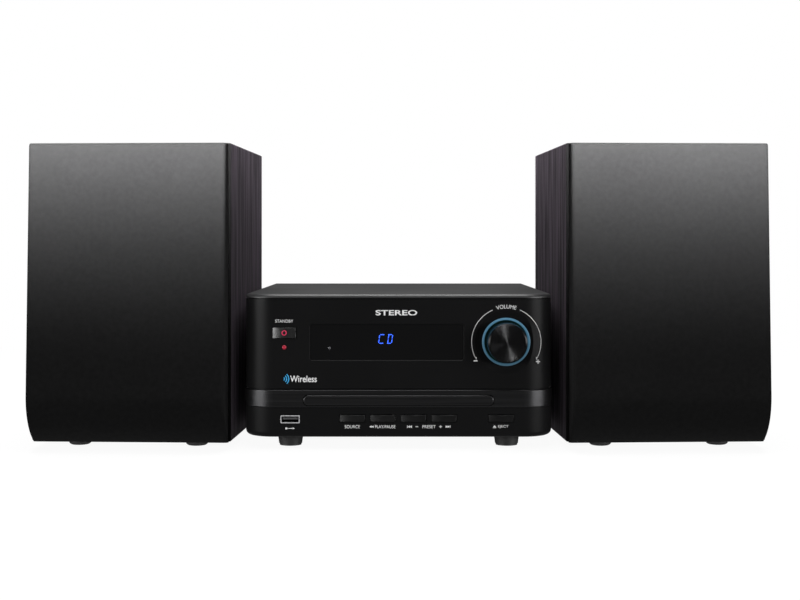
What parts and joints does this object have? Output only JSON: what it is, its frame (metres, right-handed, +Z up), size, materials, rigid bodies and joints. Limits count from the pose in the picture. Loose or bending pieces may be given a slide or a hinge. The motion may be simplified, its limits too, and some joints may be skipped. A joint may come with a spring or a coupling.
{
  "type": "mini hifi system",
  "caption": "Compact receiver with a disc drawer, display and volume knob, between two bookshelf speakers with pull-off grilles.",
  "frame": {"origin": "on the shelf, below the centre of the whole set's box", "axes": "+X to the right seen from the front, +Y to the back, +Z up"},
  "size_m": [0.512, 0.2705, 0.2127],
  "materials": {
    "black_paint": "satin black paint on steel",
    "black_moulding": "fine satin black plastic",
    "gunmetal": "satin metallic lacquer",
    "smoked_window": "polished dark acrylic",
    "black_knob": "spun metallic face, polished edge",
    "lit_ring": "blue lit translucent plastic",
    "red_lamp": "red lit plastic",
    "steel": "zinc-plated steel",
    "screw_black": "blackened steel",
    "rubber_feet": "matt",
    "board": "green solder mask",
    "component": "matt",
    "alloy": "extruded",
    "grey_moulding": "plain",
    "ivory_moulding": "natural plastic",
    "ash_foil": "black ash foil on fibreboard",
    "grille_cloth": "black stretched cloth",
    "paper_cone": "black paper",
    "soft_rubber": "soft"
  },
  "bodies": {
    "receiver": {"top_cover": "black_paint", "front_fascia": "black_moulding", "trim_band": "gunmetal", "receiver_chassis": "steel", "receiver_feet": "rubber_feet", "rear_panel": "black_paint", "receiver_screws": "screw_black", "display_window": "smoked_window", "display_module": "component", "front_boards": "board", "tact_switches": "component", "standby_led": "red_lamp", "usb_socket": "steel", "knob_light_ring": "lit_ring", "volume_encoder": "steel", "loader_frame": "grey_moulding", "loading_motor": "steel", "drive_belt": "soft_rubber", "main_board": "board", "heatsink": "alloy", "power_supply": "board", "mains_inlet": "component", "rear_jacks": "steel"},
    "volume_knob": {"volume_knob": "black_knob"},
    "standby_button": {"standby_button": "black_moulding"},
    "source_button": {"source_button": "black_moulding"},
    "play_button": {"play_button": "black_moulding"},
    "previous_button": {"previous_button": "black_moulding"},
    "next_button": {"next_button": "black_moulding"},
    "eject_button": {"eject_button": "black_moulding"},
    "drawer": {"disc_tray": "black_moulding", "tray_door": "gunmetal"},
    "tray_gear": {"tray_gear": "ivory_moulding"},
    "motor_pulley": {"motor_pulley": "ivory_moulding"},
    "pickup_frame": {"pickup_frame": "steel"},
    "turntable": {"turntable": "component"},
    "laser_sled": {"laser_sled": "component"},
    "disc_clamper": {"disc_clamper": "ivory_moulding"},
    "left_speaker": {"left_cabinet": "ash_foil", "left_baffle": "ash_foil", "left_woofer_basket": "screw_black", "left_woofer_surround": "soft_rubber", "left_tweeter": "component", "left_lead_gland": "soft_rubber", "left_speaker_feet": "rubber_feet", "left_driver_screws": "screw_black"},
    "left_grille": {"left_grille_frame": "black_moulding", "left_grille_cloth": "grille_cloth"},
    "left_cone": {"left_woofer_cone": "paper_cone"},
    "right_speaker": {"right_cabinet": "ash_foil", "right_baffle": "ash_foil", "right_woofer_basket": "screw_black", "right_woofer_surround": "soft_rubber", "right_tweeter": "component", "right_lead_gland": "soft_rubber", "right_speaker_feet": "rubber_feet", "right_driver_screws": "screw_black"},
    "right_grille": {"right_grille_frame": "black_moulding", "right_grille_cloth": "grille_cloth"},
    "right_cone": {"right_woofer_cone": "paper_cone"}
  },
  "joints": [
    {"name": "volume_knob_spin", "type": "hinge", "parent": "receiver", "child": "volume_knob", "pos_m": [0.0751, -0.10925, 0.0743], "axis": [0, 1, 0], "continuous": true},
    {"name": "standby_press", "type": "slide", "parent": "receiver", "child": "standby_button", "axis": [0, 1, 0], "range_m": [0, 0.0008], "stiffness_N_per_m": 600},
    {"name": "source_press", "type": "slide", "parent": "receiver", "child": "source_button", "axis": [0, 1, 0], "range_m": [0, 0.0008], "stiffness_N_per_m": 600},
    {"name": "play_press", "type": "slide", "parent": "receiver", "child": "play_button", "axis": [0, 1, 0], "range_m": [0, 0.0008], "stiffness_N_per_m": 600},
    {"name": "previous_press", "type": "slide", "parent": "receiver", "child": "previous_button", "axis": [0, 1, 0], "range_m": [0, 0.0008], "stiffness_N_per_m": 600},
    {"name": "next_press", "type": "slide", "parent": "receiver", "child": "next_button", "axis": [0, 1, 0], "range_m": [0, 0.0008], "stiffness_N_per_m": 600},
    {"name": "eject_press", "type": "slide", "parent": "receiver", "child": "eject_button", "axis": [0, 1, 0], "range_m": [0, 0.0008], "stiffness_N_per_m": 600},
    {"name": "drawer_slide", "type": "slide", "parent": "receiver", "child": "drawer", "axis": [0, -1, 0], "range_m": [0, 0.138]},
    {"name": "tray_gear_spin", "type": "hinge", "parent": "receiver", "child": "tray_gear", "pos_m": [-0.044, -0.06425, 0.025], "axis": [0, 0, 1], "range_deg": [0, 800]},
    {"name": "motor_pulley_spin", "type": "hinge", "parent": "receiver", "child": "motor_pulley", "pos_m": [-0.008, -0.06525, 0.025], "axis": [0, 0, 1], "range_deg": [0, 2520]},
    {"name": "pickup_tilt", "type": "hinge", "parent": "receiver", "child": "pickup_frame", "pos_m": [0, 0.05875, 0.027], "axis": [1, 0, 0], "range_deg": [0, 5]},
    {"name": "turntable_spin", "type": "hinge", "parent": "pickup_frame", "child": "turntable", "pos_m": [0, -0.02925, 0.03], "axis": [0, 0, 1], "continuous": true},
    {"name": "sled_slide", "type": "slide", "parent": "pickup_frame", "child": "laser_sled", "axis": [0, 1, 0], "range_m": [0, 0.035]},
    {"name": "clamper_spin", "type": "hinge", "parent": "receiver", "child": "disc_clamper", "pos_m": [0, -0.02925, 0.045], "axis": [0, 0, 1], "continuous": true},
    {"name": "left_speaker_place", "type": "slide", "parent": "receiver", "child": "left_speaker", "axis": [-1, 0, 0], "range_m": [0, 0.15]},
    {"name": "left_grille_pull", "type": "slide", "parent": "left_speaker", "child": "left_grille", "axis": [-0.0489, -0.9988, 0], "range_m": [0, 0.03]},
    {"name": "left_cone_travel", "type": "slide", "parent": "left_speaker", "child": "left_cone", "axis": [-0.0489, -0.9988, 0], "range_m": [-0.0025, 0.0025], "stiffness_N_per_m": 1000},
    {"name": "right_speaker_place", "type": "slide", "parent": "receiver", "child": "right_speaker", "axis": [1, 0, 0], "range_m": [0, 0.15]},
    {"name": "right_grille_pull", "type": "slide", "parent": "right_speaker", "child": "right_grille", "axis": [0.0489, -0.9988, 0], "range_m": [0, 0.03]},
    {"name": "right_cone_travel", "type": "slide", "parent": "right_speaker", "child": "right_cone", "axis": [0.0489, -0.9988, 0], "range_m": [-0.0025, 0.0025], "stiffness_N_per_m": 1000}
  ],
  "couplings": [
    {"joint": "tray_gear_spin", "follows": "drawer_slide", "rad_per_m": 100},
    {"joint": "motor_pulley_spin", "follows": "drawer_slide", "rad_per_m": 317.4}
  ]
}
